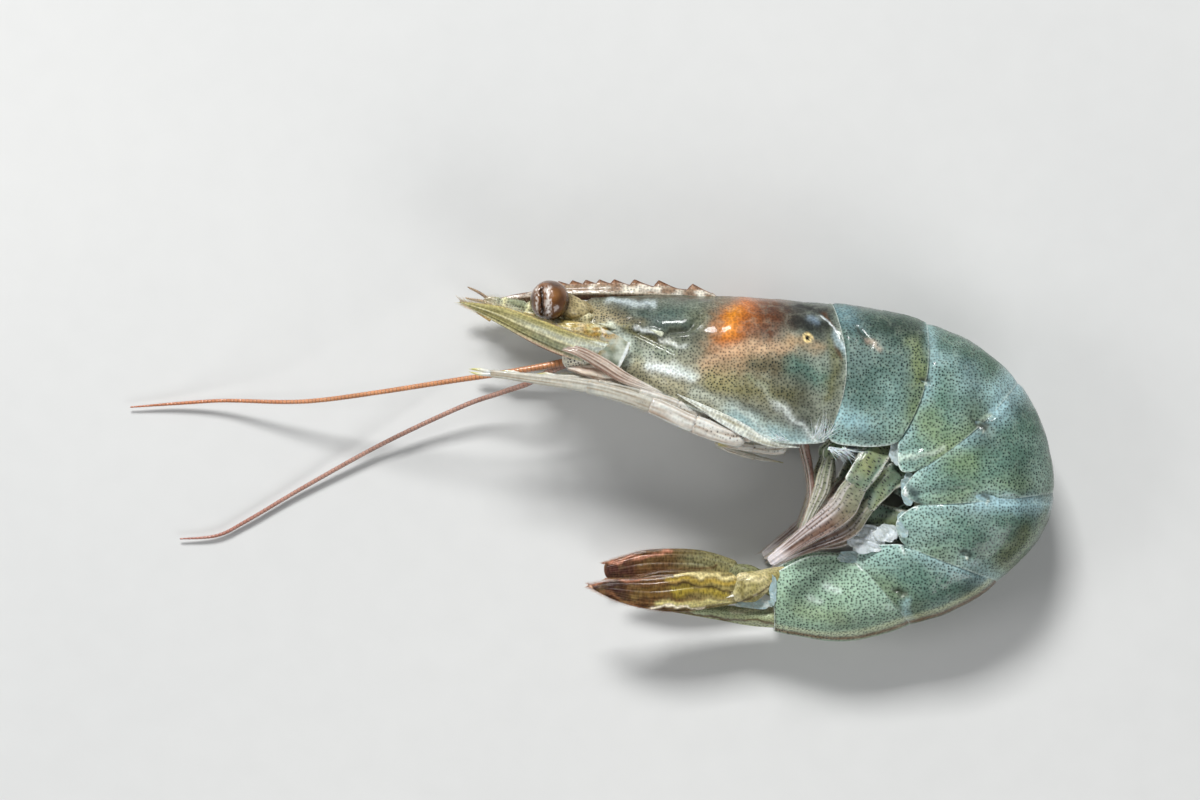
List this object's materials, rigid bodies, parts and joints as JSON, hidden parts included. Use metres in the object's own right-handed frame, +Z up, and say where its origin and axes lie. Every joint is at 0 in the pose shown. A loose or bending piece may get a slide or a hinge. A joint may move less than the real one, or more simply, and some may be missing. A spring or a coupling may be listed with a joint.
{
  "type": "king prawn",
  "caption": "Raw king prawn lying on its side, tail curled round, with plated shell, toothed beak, stalked eyes, feelers, legs, swimmerets and tail fan.",
  "frame": {"origin": "on the floor, under the centre of the model's box", "axes": "+X towards the bend of the tail, away from the head; +Y towards the animal's back at the head; +Z up, towards its left side"},
  "size_m": [0.14, 0.0542, 0.0193],
  "materials": {
    "shell": "wet, translucent grey-green shell with fine dark dots",
    "head_parts": "wet, pale olive shell with brown dots",
    "eye": "glossy, nearly black",
    "scale": "translucent yellow-green blade with fine ribs",
    "feeler": "ringed orange-brown",
    "limb": "translucent pinkish white with fine dots",
    "swimmeret": "wet pinkish brown with pale edges",
    "tail": "dark olive brown, redder at the edges"
  },
  "bodies": {
    "root": {"carapace": "shell", "abdomen_1": "shell", "abdomen_2": "shell", "abdomen_3": "shell", "abdomen_4": "shell", "abdomen_5": "shell", "abdomen_6": "shell", "head": "head_parts", "eye_left": "eye", "eye_right": "eye", "antennule_left": "head_parts", "antennule_right": "head_parts", "antenna_base_left": "head_parts", "antenna_base_right": "head_parts", "antenna_scale_left": "scale", "antenna_scale_right": "scale", "antenna_left": "feeler", "antenna_right": "feeler", "maxilliped_left": "limb", "maxilliped_right": "limb", "leg_1_left": "limb", "leg_1_right": "limb", "leg_2_left": "limb", "leg_2_right": "limb", "leg_3_left": "limb", "leg_3_right": "limb", "leg_4_left": "limb", "leg_4_right": "limb", "leg_5_left": "limb", "leg_5_right": "limb", "swimmeret_1_left": "swimmeret", "swimmeret_1_right": "swimmeret", "swimmeret_2_left": "swimmeret", "swimmeret_2_right": "swimmeret", "swimmeret_3_left": "swimmeret", "swimmeret_3_right": "swimmeret", "swimmeret_4_left": "swimmeret", "swimmeret_4_right": "swimmeret", "swimmeret_5_left": "swimmeret", "swimmeret_5_right": "swimmeret", "telson": "tail", "uropod_left_outer": "tail", "uropod_left_inner": "tail", "uropod_right_outer": "tail", "uropod_right_inner": "tail"}
  },
  "joints": []
}
